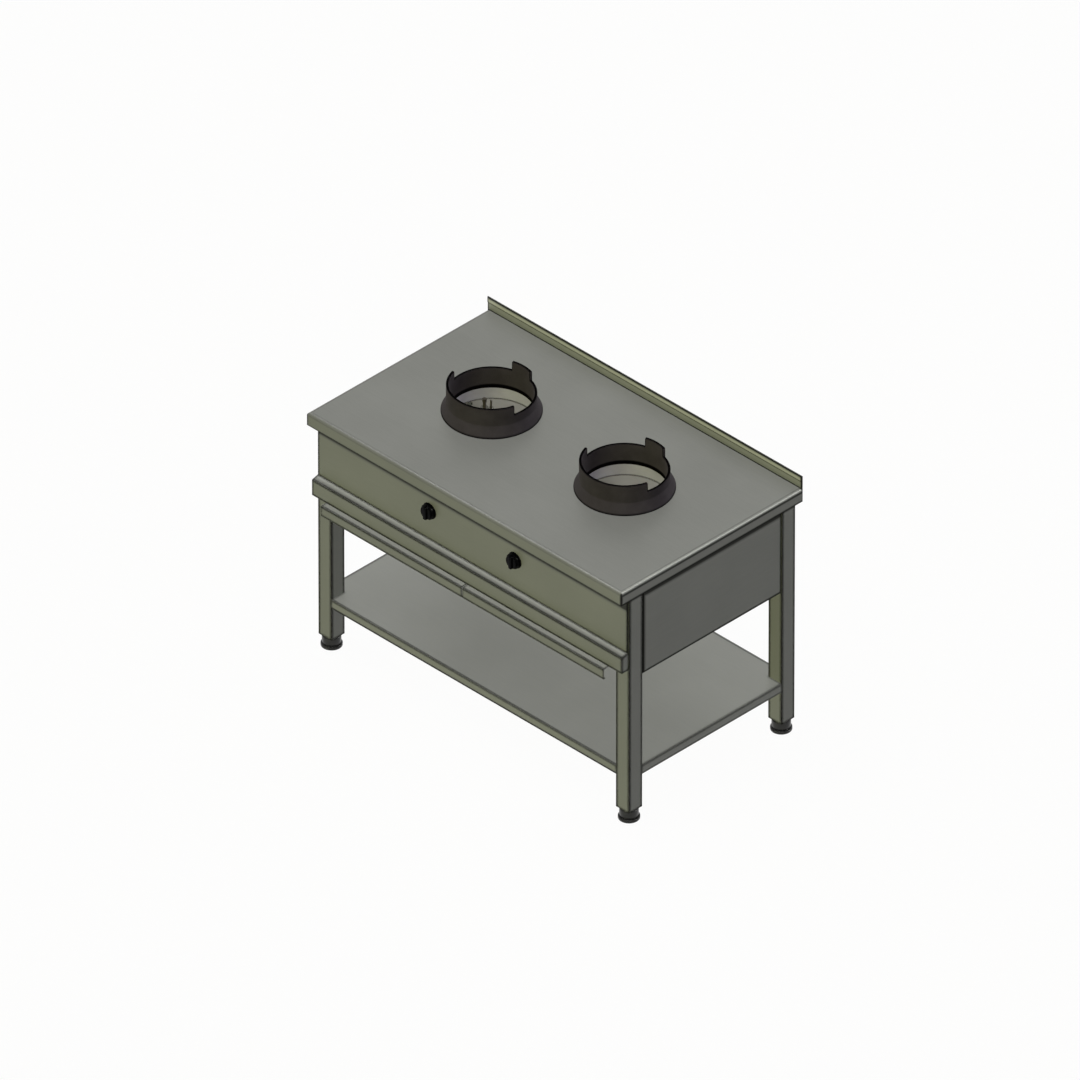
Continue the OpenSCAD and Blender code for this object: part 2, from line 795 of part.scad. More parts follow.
module burner() {
    low_z = chamber_h * chamber_low_share;
    floor_z = burner_foot_h + chamber_t;
    color("dimgray")
        difference() {
            union() {
                translate([burner_x, burner_y, channel_top]) rotate_extrude() polygon([
                    [0, 0], [burner_flange_r, 0], [burner_flange_r, burner_flange_t], [burner_foot_r, burner_flange_t],
                    [burner_foot_r, burner_foot_h], [chamber_low_r, burner_foot_h],
                    [chamber_r - chamber_flare, burner_foot_h + low_z], [chamber_r, burner_foot_h + chamber_h],
                    [0, burner_foot_h + chamber_h]
                ]);
                translate([burner_x, 0, tap_z]) {
                    forwards(burner_y) cylinder(h = burner_y - mouth_y, r = mixer_r);
                    forwards(mouth_y + mouth_t) cylinder(h = mouth_t, r = mouth_r);
                    for (x = [-mouth_r, mouth_r - arm_t])
                        block(x, x + arm_t, bridge_y, mouth_y + mouth_t, -bridge_w / 2, bridge_w / 2);
                    block(-mouth_r, mouth_r, bridge_y, bridge_y + bridge_t, -bridge_w, bridge_w);
                }
            }
            translate([burner_x, burner_y, channel_top]) rotate_extrude() polygon([
                [0, floor_z], [chamber_low_r - chamber_t, floor_z],
                [chamber_r - chamber_flare - chamber_t, burner_foot_h + low_z],
                [chamber_r - chamber_t, burner_foot_h + chamber_h + over], [0, burner_foot_h + chamber_h + over]
            ]);
            translate([burner_x, 0, tap_z]) {
                forwards(burner_y) cylinder(h = burner_y - mouth_y + over, r = mixer_bore_r);
                forwards(bridge_y + bridge_t + over) cylinder(h = bridge_t + 2 * over, r = injector_r + fit);
            }
            burner_bolt_holes();
        }
}

module burner_head() {
    color("darkgoldenrod")
        translate([burner_x, burner_y, head_z])
            difference() {
                rotate_extrude() polygon([
                    [0, 0], [head_r, 0], [head_r, head_h - cap_h], [cap_r, head_h], [0, head_h]
                ]);
                for (i = [0 : port_count - 1])
                    rotate([0, 0, i * 360 / port_count])
                        block(head_r - port_depth, head_r + over, -port_w / 2, port_w / 2,
                            head_h - cap_h - port_h, head_h - cap_h - port_w);
            }
}

module burner_bolts() {
    color("lightgray")
        for (side = [-1, 1])
            for (dx = [-bolt_x, bolt_x])
                translate([side * burner_x + dx, burner_y, channel_top]) {
                    translate([0, 0, burner_flange_t]) cylinder(h = bolt_head_h, r = bolt_hex_r, $fn = 6);
                    translate([0, 0, -carrier_t - bolt_nut_h])
                        cylinder(h = carrier_t + bolt_nut_h + burner_flange_t, r = bolt_r);
                    translate([0, 0, -carrier_t - bolt_nut_h]) cylinder(h = bolt_nut_h, r = bolt_hex_r, $fn = 6);
                }
}

module injector() {
    color("goldenrod")
        translate([burner_x, 0, tap_z]) {
            forwards(bridge_y + bridge_t) cylinder(h = bridge_t, r = injector_r);
            forwards(bridge_y + bridge_t + jet_l) cylinder(h = jet_l, r = jet_r);
            forwards(bridge_y) cylinder(h = injector_hex_l, r = injector_hex_r, $fn = 6);
            forwards(injector_y) cylinder(h = tail_l, r = pipe_r + tail_wall);
        }
}

// Pilot burner on its plate, with the pipe that feeds it from the tap
module pilot() {
    x = burner_x + pilot_dx;
    y = burner_y + pilot_dy;
    z = channel_top + plate_t;
    tip = table_h - pilot_tip_drop;
    turn_z = z + 5 * pilot_pipe_r + plate_t;
    color("darkgoldenrod") {
        block(burner_x + probe_dx - plate_edge, x + plate_edge, burner_y + plate_t, y + 2 * plate_edge,
            channel_top, z);
        rod([x, y, z], [x, y, tip - pilot_hood_h], pilot_r);
        rod([x, y, tip - pilot_hood_h], [x, y, tip], pilot_hood_r);
        rod([x, y, turn_z], [x, y - 2 * pilot_r, turn_z], 2 * pilot_pipe_r);
        pipe([
            [knob_x + side_step, tap_y1, tap_z - tap_h / 4],
            [knob_x + side_step, tap_y1 + 3 * pilot_pipe_bend, tap_z - tap_h / 4],
            [knob_x + side_step, tap_y1 + 3 * pilot_pipe_bend, turn_z],
            [knob_x + side_step, burner_y - chamber_r + plate_t, turn_z],
            [x, burner_y - chamber_r + plate_t, turn_z],
            [x, y - 2 * pilot_r, turn_z]
        ], pilot_pipe_r, pilot_pipe_bend);
    }
}

// Flame probe beside the pilot, with the lead to the tap
module thermocouple() {
    x = burner_x + probe_dx;
    y = burner_y + probe_dy;
    z = channel_top + plate_t;
    lead_z = z + 4 * lead_r;
    color("chocolate") {
        rod([x, y, z], [x, y, table_h - probe_tip_drop], probe_r);
        rod([x, y, lead_z], [x - 2 * probe_r, y, lead_z], 1.5 * lead_r);
        pipe([
            [x - 2 * probe_r, y, lead_z],
            [knob_x - side_step, y, lead_z],
            [knob_x - side_step, tap_y1 + 4 * pilot_pipe_bend, lead_z],
            [knob_x - side_step, tap_y1 + 4 * pilot_pipe_bend, tap_z - tap_h / 4],
            [knob_x - side_step, tap_y1, tap_z - tap_h / 4]
        ], lead_r, pilot_pipe_bend);
    }
}

module gas_tap() {
    color("darkgray")
        translate([knob_x, 0, tap_z])
            difference() {
                union() {
                    block(-tap_w / 2, tap_w / 2, tap_y0, tap_y1, -tap_h / 2, tap_h / 2);
                    forwards(tap_y0) cylinder(h = bush_l, r = bush_r);
                    rod([tap_w / 2, pipe_y, 0], [tap_w / 2 + outlet_l, pipe_y, 0], outlet_r);
                }
                forwards(tap_y0 + spindle_bush_l) cylinder(h = spindle_bush_l + bush_l + over, r = spindle_r + fit);
                forwards(tap_y0 + spindle_bush_l + plunger_room) cylinder(h = plunger_room, r = plunger_r + fit);
            }
}

module tap_plunger() {
    y = spindle_y1 + seat;
    color("lightgray")
        translate([knob_x, 0, tap_z]) forwards(y + plunger_l) cylinder(h = plunger_l, r = plunger_r);
}

module tap_spindle() {
    color("lightgray")
        translate([knob_x, 0, tap_z]) forwards(spindle_y1) cylinder(h = spindle_y1 - spindle_y0, r = spindle_r);
}

module knob() {
    color([0.06, 0.06, 0.07])
        translate([knob_x, 0, tap_z])
            forwards(knob_y)
                difference() {
                    union() {
                        cylinder(h = knob_skirt, r = knob_r);
                        cylinder(h = knob_skirt + knob_body, r1 = knob_body_r + knob_taper, r2 = knob_body_r);
                        translate([-grip_w / 2, -grip_l / 2, 0]) cube([grip_w, grip_l, knob_skirt + grip_h]);
                    }
                    translate([0, 0, -over]) cylinder(h = knob_y - spindle_y0 + over, r = spindle_r + fit);
                    translate([-pointer_w / 2, grip_l / 4, knob_skirt + grip_h - pointer_t])
                        cube([pointer_w, grip_l / 4 + over, pointer_t + over]);
                }
}

module bezel() {
    color([0.06, 0.06, 0.07])
        translate([knob_x, 0, tap_z])
            forwards(panel_y)
                difference() {
                    rotate_extrude() polygon([
                        [0, 0], [bezel_r, 0], [bezel_r, bezel_t - bezel_cone], [bezel_r - bezel_cone, bezel_t],
                        [0, bezel_t]
                    ]);
                    translate([0, 0, -over]) cylinder(h = bezel_t + 2 * over, r = spindle_hole_r);
                }
}

module gas_manifold() {
    color("lightgray")
        translate([0, manifold_y, manifold_z]) {
            rod([-manifold_x, 0, 0], [manifold_x, 0, 0], supply_r);
            for (side = [-1, 1])
                block(side * knob_x - boss_w / 2, side * knob_x + boss_w / 2, -boss_w / 2, boss_w / 2, 0, boss_h);
            rod([supply_x, 0, 0], [supply_x, tee_l, 0], tee_r);
            rod([supply_x, tee_l, 0], [supply_x, back_in_y - inlet_hex_l - manifold_y, 0], supply_r);
        }
}

module manifold_brackets() {
    y = panel_y + panel_t;
    y1 = manifold_y + supply_r + 2 * bracket_t;
    z0 = manifold_z - bracket_w / 2;
    color("gray")
        for (side = [0, 1])
            mirror([side, 0, 0])
                difference() {
                    union() {
                        block(bracket_x, bracket_x + bracket_t, y, y1, z0, z0 + bracket_w);
                        block(bracket_x, bracket_x + bracket_flange, y, y + bracket_t, z0, z0 + bracket_w);
                    }
                    rod([bracket_x - over, manifold_y, manifold_z], [bracket_x + bracket_t + over, manifold_y, manifold_z],
                        supply_r + fit);
                }
}

module gas_inlet() {
    color("goldenrod")
        translate([supply_x, 0, manifold_z])
            difference() {
                union() {
                    forwards(back_in_y) cylinder(h = inlet_hex_l, r = inlet_hex_r, $fn = 6);
                    forwards(back_in_y + inlet_neck_l) cylinder(h = inlet_neck_l, r = inlet_neck_r);
                    forwards(back_in_y + inlet_l) cylinder(h = inlet_l - inlet_neck_l, r = inlet_r);
                }
                forwards(back_in_y + inlet_l + over) cylinder(h = inlet_l + over, r = inlet_bore_r);
            }
}

module gas_pipe() {
    color("lightgray")
        pipe([
            [knob_x + tap_w / 2 + outlet_l, pipe_y, tap_z],
            [burner_x, pipe_y, tap_z],
            [burner_x, injector_y - tail_l, tap_z]
        ], pipe_r, pipe_bend);
}

place() worktop();
place() worktop_channels();
place() control_panel();
place() front_rail();
place() left() side_panel();  // side_panel_left
place() side_panel();  // side_panel_right
place() back_panel();
place() centre_divider();
place() leg(-leg_mid_x, leg_front_y);  // leg_front_left
place() leg(leg_mid_x, leg_front_y);  // leg_front_right
place() leg(-leg_mid_x, leg_back_y);  // leg_back_left
place() leg(leg_mid_x, leg_back_y);  // leg_back_right
place() leg_inserts();
place() foot(leg_pos[0]);  // foot_front_left
place() foot(leg_pos[1]);  // foot_front_right
place() foot(leg_pos[2]);  // foot_back_left
place() foot(leg_pos[3]);  // foot_back_right
place() left() runner_side();  // runner_left
place() runner_side();  // runner_right
place() runner_middle();
place() runner_screws();
place() left() drip_tray();  // drip_tray_left
place() drip_tray();  // drip_tray_right
place() shelf();
place() shelf_channels();
place() left() wok_ring();  // wok_ring_left
place() wok_ring();  // wok_ring_right
place() left() burner_bowl();  // burner_bowl_left
place() burner_bowl();  // burner_bowl_right
place() bowl_nuts();
place() left() burner_channel();  // burner_channel_left
place() burner_channel();  // burner_channel_right
place() left() burner();  // burner_left
place() burner();  // burner_right
place() left() burner_head();  // burner_head_left
place() burner_head();  // burner_head_right
place() burner_bolts();
place() left() injector();  // injector_left
place() injector();  // injector_right
place() left() pilot();  // pilot_left
place() pilot();  // pilot_right
place() left() thermocouple();  // thermocouple_left
place() thermocouple();  // thermocouple_right
place() left() gas_tap();  // gas_tap_left
place() gas_tap();  // gas_tap_right
place() left() tap_plunger();  // tap_plunger_left
place() tap_plunger();  // tap_plunger_right
place() left() tap_spindle();  // tap_spindle_left
place() tap_spindle();  // tap_spindle_right
place() left() knob();  // knob_left
place() knob();  // knob_right
place() left() bezel();  // bezel_left
place() bezel();  // bezel_right
place() gas_manifold();
place() manifold_brackets();
place() gas_inlet();
place() left() gas_pipe();  // gas_pipe_left
place() gas_pipe();  // gas_pipe_right
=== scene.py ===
# Two-burner wok range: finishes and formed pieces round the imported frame.
import json
import math
import bmesh
import bpy
import numpy as np
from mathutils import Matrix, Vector

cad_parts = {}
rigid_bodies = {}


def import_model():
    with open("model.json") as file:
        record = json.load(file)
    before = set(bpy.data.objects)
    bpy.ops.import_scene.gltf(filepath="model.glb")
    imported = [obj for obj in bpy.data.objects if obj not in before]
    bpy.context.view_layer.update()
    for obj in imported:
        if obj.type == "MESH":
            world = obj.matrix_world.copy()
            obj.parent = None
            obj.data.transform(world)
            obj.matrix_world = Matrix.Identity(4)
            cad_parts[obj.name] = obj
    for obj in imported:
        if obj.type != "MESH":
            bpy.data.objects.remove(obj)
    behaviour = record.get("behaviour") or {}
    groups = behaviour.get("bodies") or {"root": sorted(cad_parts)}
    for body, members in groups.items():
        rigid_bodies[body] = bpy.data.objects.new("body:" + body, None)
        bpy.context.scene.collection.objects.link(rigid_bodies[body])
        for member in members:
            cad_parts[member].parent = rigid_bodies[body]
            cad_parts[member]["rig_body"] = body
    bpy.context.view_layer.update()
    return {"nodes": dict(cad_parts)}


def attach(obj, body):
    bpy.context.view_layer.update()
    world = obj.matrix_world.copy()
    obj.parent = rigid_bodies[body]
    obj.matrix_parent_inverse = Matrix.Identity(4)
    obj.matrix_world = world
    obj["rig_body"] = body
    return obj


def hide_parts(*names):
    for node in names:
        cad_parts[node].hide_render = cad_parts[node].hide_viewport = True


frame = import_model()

nodes = frame["nodes"]
sides = {"left": -1, "right": 1}
mmPerMetre = 1000
print("frame loaded,", len(nodes), "nodes")

# Camera
# A true isometric view, through a long lens so that parallel edges stay parallel
photoView = {
    "azimuth": 45,
    "elevation": 35.264,
    "target": (-0.028, -0.028, 0.5315),  # point on the sight line through the middle of the photo
    "widthSeen": 3.1625,  # metres across the frame at the target
    "lensMm": 1500,
    "sensorMm": 36,
    "clipRange": (0.1, 3),  # nearest and farthest thing shown, as shares of the distance to the target
}


def makeCamera(view):
    azimuth, elevation = math.radians(view["azimuth"]), math.radians(view["elevation"])
    level = math.cos(elevation)
    back = Vector((math.sin(azimuth) * level, -math.cos(azimuth) * level, math.sin(elevation)))
    data = bpy.data.cameras.new("photoCamera")
    data.lens, data.sensor_width = view["lensMm"], view["sensorMm"]
    distance = view["widthSeen"] * view["lensMm"] / view["sensorMm"]
    data.clip_start, data.clip_end = (distance * share for share in view["clipRange"])
    camera = bpy.data.objects.new("photoCamera", data)
    camera.rotation_mode = "QUATERNION"
    camera.rotation_quaternion = (-back).to_track_quat("-Z", "Y")
    camera.location = Vector(view["target"]) + back * distance
    bpy.context.scene.collection.objects.link(camera)
    bpy.context.scene.camera = camera


makeCamera(photoView)
print("camera placed")


# Shapes
# Quads between neighbouring points of a grid in which every row is a closed loop. The last row is joined to the
# first, or with capped the first and the last are each filled with one face.
def tubeFaces(points, capped=False):
    rows, columns = points.shape[:2]
    i, j = np.meshgrid(np.arange(rows - capped), np.arange(columns), indexing="ij")
    down, across = (i + 1) % rows, (j + 1) % columns
    quads = [i * columns + j, down * columns + j, down * columns + across, i * columns + across]
    faces = np.stack(quads, axis=-1).reshape(-1, 4).tolist()
    if capped:
        faces += [list(range(columns)), list(range((rows - 1) * columns, rows * columns))]
    return faces


cornerLimits = {
    "sideShare": 0.49,  # most of a side that one arc may take up
    "leastReach": 1e-7,  # metres, with less than this a corner stays square
    "leastSweep": 1e-6,  # radians, for a point on a straight side
    "tiny": 1e-9,  # stands in for a zero that would be divided by
}


# Rounds each corner of a closed outline with an arc: its ends lie r / tan(half the corner's angle) along both
# sides, and the points between turn evenly about the arc's centre
def roundCorners(points, radii, steps=5):
    tiny = cornerLimits["tiny"]
    p, r = np.asarray(points, float), np.asarray(radii, float)
    toBefore, toAfter = np.roll(p, 1, axis=0) - p, np.roll(p, -1, axis=0) - p
    lengthBefore, lengthAfter = np.linalg.norm(toBefore, axis=1), np.linalg.norm(toAfter, axis=1)
    a, b = toBefore / lengthBefore[:, None], toAfter / lengthAfter[:, None]
    half = np.arccos(np.clip((a * b).sum(axis=1), -1, 1)) / 2
    longest = cornerLimits["sideShare"] * np.minimum(lengthBefore, lengthAfter)
    reach = np.minimum(r / np.maximum(np.tan(half), tiny), longest)
    radius = reach * np.tan(half)
    sweep = np.maximum(np.pi - 2 * half, cornerLimits["leastSweep"])
    t = np.linspace(0, 1, steps + 1)[None, :, None]
    bisector = a + b
    bisector /= np.maximum(np.linalg.norm(bisector, axis=1), tiny)[:, None]
    centre = p + bisector * (radius / np.maximum(np.sin(half), tiny))[:, None]
    start, end = p + a * reach[:, None] - centre, p + b * reach[:, None] - centre
    turn = sweep[:, None, None]
    arc = (np.sin((1 - t) * turn) * start[:, None] + np.sin(t * turn) * end[:, None]) / np.sin(turn)
    rounded = centre[:, None] + arc
    square = (reach < cornerLimits["leastReach"])[:, None, None]
    return np.where(square, p[:, None], rounded).reshape(-1, 2)


# Puts a round shape in place, with its axis pointing up, to the front or to the back
def placed(across, side, along, centre, facing):
    ways = {"up": (across, side, along), "front": (across, -along, side), "back": (across, along, side)}
    return np.stack(ways[facing], axis=-1) + np.asarray(centre)


# Turns a profile of (radius, height) about its axis: (r cos a, r sin a, h)
def turned(profile, steps, centre, facing="up"):
    angle = np.arange(steps)[:, None] * 2 * np.pi / steps
    r, h = np.asarray(profile).T
    height = np.broadcast_to(h, (steps, len(h)))
    return placed(np.cos(angle) * r, np.sin(angle) * r, height, centre, facing)


# Outline of a rectangle with round corners: the corner's arc is added to a smaller rectangle's corners
def roundedRectangle(halfWidth, halfHeight, radius, steps=6):
    angle = np.linspace(0, np.pi / 2, steps + 1)[None, :] + np.arange(4)[:, None] * np.pi / 2
    cornerX = np.array([1, -1, -1, 1])[:, None] * (halfWidth - radius)
    cornerY = np.array([1, 1, -1, -1])[:, None] * (halfHeight - radius)
    corners = np.stack([cornerX + radius * np.cos(angle), cornerY + radius * np.sin(angle)], axis=-1)
    return corners.reshape(-1, 2)


mergeDistance = 2e-6  # metres, points nearer than this become one
creaseDegrees = 32  # a fold sharper than this stays crisp


def mergePoints(mesh, turnOutwards=False):
    tidy = bmesh.new()
    tidy.from_mesh(mesh)
    bmesh.ops.remove_doubles(tidy, verts=tidy.verts, dist=mergeDistance)
    if turnOutwards:
        bmesh.ops.recalc_face_normals(tidy, faces=tidy.faces)
    tidy.to_mesh(mesh)
    tidy.free()


def finishPiece(name, mesh, body, finish, replaced):
    piece = bpy.data.objects.new(name, mesh)
    bpy.context.scene.collection.objects.link(piece)
    mesh.shade_smooth()
    mesh.set_sharp_from_angle(angle=math.radians(creaseDegrees))
    mesh.materials.clear()
    mesh.materials.append(finish)
    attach(piece, body)
    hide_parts(*replaced)
    return piece


def addPiece(name, points, faces, body, finish, replaced):
    mesh = bpy.data.meshes.new(name)
    mesh.from_pydata(points.reshape(-1, 3).tolist(), [], faces)
    mergePoints(mesh, turnOutwards=True)
    finishPiece(name, mesh, body, finish, replaced)


# A merged copy of a CAD solid, smooth over its curves and crisp at its edges
def smoothCopy(node, finish):
    mesh = nodes[node].data.copy()
    mergePoints(mesh)
    if mesh.has_custom_normals:
        mesh.attributes.remove(mesh.attributes["custom_normal"])
    piece = finishPiece(node + "Formed", mesh, nodes[node]["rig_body"], finish, [node])
    weighted = piece.modifiers.new("evenShading", "WEIGHTED_NORMAL")
    weighted.keep_sharp = True


# Finishes
# Hex text to the linear levels that a socket takes, by the sRGB curve
def colour(hexText):
    level = np.array([int(hexText[i : i + 2], 16) for i in (1, 3, 5)]) / 255
    linear = np.where(level <= 0.04045, level / 12.92, ((level + 0.055) / 1.055) ** 2.4)
    return (*linear.tolist(), 1.0)


def addNode(tree, kind, values=None, links=None):
    node = tree.nodes.new("ShaderNode" + kind)
    for key, value in (values or {}).items():
        if isinstance(key, int) or key in node.inputs:
            node.inputs[key].default_value = value
        else:
            setattr(node, key, value)
    for key, source in (links or {}).items():
        tree.links.new(source, node.inputs[key])
    return node


# One step of arithmetic, on numbers and on other nodes' outputs
def worked(tree, operation, *terms):
    values, links = {"operation": operation}, {}
    for place, term in enumerate(terms):
        (values if isinstance(term, (int, float)) else links)[place] = term
    return addNode(tree, "Math", values, links).outputs[0]


# The first colour where the share is 0, the second where it is 1. Each is hex text or another node's output.
# A Mix node takes its share at input 0 and its colours at 6 and 7, and gives the result at output 2.
def mixedColours(tree, share, first, second):
    values, links = {"data_type": "RGBA"}, {0: share}
    for place, source in ((6, first), (7, second)):
        if isinstance(source, str):
            values[place] = colour(source)
        else:
            links[place] = source
    return addNode(tree, "Mix", values, links).outputs[2]


drawnLine = {
    "fullShare": 0.4,  # share of the half width over which a line is at its strongest
    "leastFacing": 0.75,  # how squarely a face looks along the axis when it counts as looking that way
}


# How strong a drawn line is. It lies where one coordinate is close to a given value: it is full near that value,
# and from there it falls evenly to none at the half width. With a face axis given, it lies only on the faces that
# look along that axis. Axes are 0, 1 and 2 for x, y and z.
def lineShare(tree, place, face, axis, at, halfWidthMm, most):
    along = addNode(tree, "SeparateXYZ", links={0: place}).outputs[axis]
    away = worked(tree, "ABSOLUTE", worked(tree, "SUBTRACT", along, at))
    halfWidth = halfWidthMm / mmPerMetre
    full = drawnLine["fullShare"] * halfWidth
    fade = {"From Min": full, "From Max": halfWidth, "To Min": most, "To Max": 0.0}
    line = addNode(tree, "MapRange", fade, {"Value": away}).outputs[0]
    if face is None:
        return line
    normal = addNode(tree, "NewGeometry").outputs["Normal"]
    facing = addNode(tree, "SeparateXYZ", links={0: normal}).outputs[face]
    onFace = worked(tree, "GREATER_THAN", worked(tree, "ABSOLUTE", facing), drawnLine["leastFacing"])
    return worked(tree, "MULTIPLY", line, onFace)


finishBase = {
    "grainDetail": 3.0, "grainRoughness": 0.6, "patchDetail": 2.0,
    "toneRange": (0.3, 0.7),  # the middle part of the noise, which covers the whole way from dark to light
    "crystalRange": (0.82, 1.12),  # brightness of the darkest and the lightest crystal of a spangle
    "bevelSamples": 8,
    "edgeRange": (0.955, 0.995),  # agreement of the softened and the true normal, at full painted shade and at none
}


# Common base of all finishes: a grain drawn out by its own sizes, slow patches, painted bands of light and shade,
# and painted shade along edges and in drawn lines. The painted shade has no sheen: as a metal with a nearly black
# colour it reflects next to nothing, and a dark glance takes away the rest of it at flat angles.
def makeFinish(name, s):
    material = bpy.data.materials.new(name)
    material.use_nodes = True
    tree = material.node_tree
    shader = tree.nodes["Principled BSDF"]
    place = addNode(tree, "TexCoord").outputs["Object"]
    stretch = {"Scale": [mmPerMetre / size for size in s["grainMm"]]}
    drawn = addNode(tree, "Mapping", stretch, {"Vector": place}).outputs[0]
    grainNoise = {"Scale": 1.0, "Detail": finishBase["grainDetail"], "Roughness": finishBase["grainRoughness"]}
    grain = addNode(tree, "TexNoise", grainNoise, {"Vector": drawn}).outputs[0]
    patchNoise = {"Scale": mmPerMetre / s["patchMm"], "Detail": finishBase["patchDetail"]}
    patch = addNode(tree, "TexNoise", patchNoise, {"Vector": place}).outputs[0]
    patchMix = {"data_type": "FLOAT", 0: s["patchShare"]}
    share = addNode(tree, "Mix", patchMix, {2: grain, 3: patch}).outputs[0]
    low, high = finishBase["toneRange"]
    spread = addNode(tree, "MapRange", {"From Min": low, "From Max": high}, {"Value": share}).outputs[0]
    tone = mixedColours(tree, spread, s["dark"], s["light"])
    if "spangleMm" in s:
        cells = {"Scale": mmPerMetre / s["spangleMm"]}
        crystal = addNode(tree, "TexVoronoi", cells, {"Vector": place}).outputs["Color"]
        grey = addNode(tree, "RGBToBW", links={0: crystal}).outputs[0]
        low, high = finishBase["crystalRange"]
        lift = addNode(tree, "MapRange", {"To Min": low, "To Max": high}, {"Value": grey}).outputs[0]
        tone = addNode(tree, "VectorMath", {"operation": "MULTIPLY"}, {0: tone, 1: lift}).outputs[0]
    for *band, tint in s.get("bands", ()):
        tone = mixedColours(tree, lineShare(tree, place, *band), tone, tint)
    shader.inputs["Metallic"].default_value = s["metallic"]
    if "edgeMm" in s:
        rounding = {"samples": finishBase["bevelSamples"], "Radius": s["edgeMm"] / mmPerMetre}
        softened = addNode(tree, "Bevel", rounding).outputs[0]
        flat = addNode(tree, "NewGeometry").outputs["Normal"]
        compare = {"operation": "DOT_PRODUCT"}
        agree = addNode(tree, "VectorMath", compare, {0: softened, 1: flat}).outputs["Value"]
        low, high = finishBase["edgeRange"]
        edgeShadeFade = {"From Min": low, "From Max": high, "To Min": s["edgeShare"], "To Max": 0.0}
        paintedShade = addNode(tree, "MapRange", edgeShadeFade, {"Value": agree}).outputs[0]
        for line in s.get("shadeLines", ()):
            paintedShade = worked(tree, "MAXIMUM", paintedShade, lineShare(tree, place, *line))
        tone = mixedColours(tree, paintedShade, tone, s["edge"])
        sheen = {"To Min": s["metallic"], "To Max": 1.0}
        metal = addNode(tree, "MapRange", sheen, {"Value": paintedShade}).outputs[0]
        tree.links.new(metal, shader.inputs["Metallic"])
    tree.links.new(tone, shader.inputs["Base Color"])
    polish = {"To Min": s["roughness"] - s["roughnessSpread"], "To Max": s["roughness"] + s["roughnessSpread"]}
    rough = addNode(tree, "MapRange", polish, {"Value": share}).outputs[0]
    tree.links.new(rough, shader.inputs["Roughness"])
    relief = {"Strength": s["bump"], "Distance": s["bumpMm"] / mmPerMetre}
    height = addNode(tree, "Bump", relief, {"Height": grain}).outputs[0]
    tree.links.new(height, shader.inputs["Normal"])
    shader.inputs["Specular IOR Level"].default_value = s.get("specular", 0.5)
    shader.inputs["Specular Tint"].default_value = colour(s.get("glance", "#ffffff"))
    return material


# Brushed stainless sheet, 1.5 and 2 mm: an even olive-grey satin, with dark lines painted along folds and cut edges
# as painted shade. Real brush lines lie 0.1 mm apart, too fine to show, so they are drawn 1.2 mm apart and 90 mm
# long.
# Each painted shade line below is the axis that its faces look along or None, the axis on which its place is
# measured, the place in metres, the half width in mm and the strength. A band is the same, with its own colour at
# the end.
brushedSheet = {
    "light": "#858682", "dark": "#7b7c78", "edge": "#151513", "edgeShare": 0.97, "edgeMm": 10,
    "specular": 0.3, "glance": "#000000", "patchMm": 260, "patchShare": 0.45,
    "metallic": 0.25, "roughness": 0.44, "roughnessSpread": 0.06, "bump": 0.25, "bumpMm": 0.05,
}
alongX = {**brushedSheet, "grainMm": (90, 1.2, 1.2)}
brushedAlongX = makeFinish("brushedStainlessAlongX", alongX)

# The worktop has the same sheet, painted a little darker as painted shade against the strong light from above. Its
# bends end in faint painted lines, painted shade sits along its cut edges and under the side bends, and the
# upstand's hem and face are painted paler as painted highlights.
dimmedTop = makeFinish("dimmedStainlessTop", {
    **alongX, "light": "#838480", "dark": "#797a76", "edgeMm": 5,
    "shadeLines": [
        (2, 0, 0.6405, 3, 0.3), (2, 0, -0.6405, 3, 0.3), (2, 1, -0.365, 8, 0.25),  # bends, on the top
        (1, 2, 0.8435, 7, 0.3), (0, 2, 0.8385, 6, 0.85),  # bends, on the apron
        (1, 2, 0.805, 6, 0.3), (0, 2, 0.805, 8, 0.9),  # the apron's lower edge
        (1, 0, 0.65, 9, 0.85), (0, 1, -0.371, 9, 0.85), (1, 0, -0.65, 7, 0.6),  # the apron's corners
        (1, 2, 0.895, 7, 0.85),  # the upstand's top
    ],
    # painted highlights: the upstand's hem, and fainter, its face
    "bands": [(1, 2, 0.882, 7, 0.85, "#bcbcb4"), (1, 2, 0.868, 12, 0.45, "#9a9b95")],
})

# The shelf's brushed face is painted paler than the rest, as painted light against the shade under the worktop,
# with painted shade along its lower edge
lightenedShelf = makeFinish("lightenedStainlessShelf", {
    **alongX, "light": "#8b8c88", "dark": "#838480", "edgeShare": 0.75,
    "shadeLines": [(1, 2, 0.1565, 8, 0.85), (0, 2, 0.1565, 8, 0.6)],
})

# The trays have fainter painted shade along their edges. Painted shade also lies on the panel and side panels in a
# strip right under the apron, and in the gaps beside the legs. The rail's top slope is painted darker towards its
# front edge, as painted shade.
fainterEdgeTray = makeFinish("brushedStainlessTray", {**alongX, "edgeShare": 0.85})
shadedPanel = makeFinish("brushedStainlessPanel", {
    **alongX, "shadeLines": [(1, 2, 0.7725, 13, 0.8), (1, 2, 0.792, 36, 0.8)],
})
shadedSide = makeFinish("brushedStainlessSide", {
    **brushedSheet, "grainMm": (1.2, 90, 1.2),
    "shadeLines": [
        (0, 2, 0.797, 21, 0.92), (0, 2, 0.512, 10, 0.85),  # under the apron and along the lower edge
        (0, 1, -0.276, 20, 0.97), (0, 1, 0.302, 8, 0.7),  # beside the front and the back leg
    ],
})
slopedRail = makeFinish("brushedStainlessRail", {
    **alongX, "edgeShare": 0.9, "bands": [(2, 1, -0.36, 17, 0.55, "#2a2a26")],
})
# Legs: painted shade along their edges and in a line just under the apron
brushedLeg = makeFinish("brushedStainlessLeg", {
    **brushedSheet, "grainMm": (1.2, 1.2, 90), "edgeMm": 12, "shadeLines": [(0, 2, 0.801, 9, 0.8)],
})
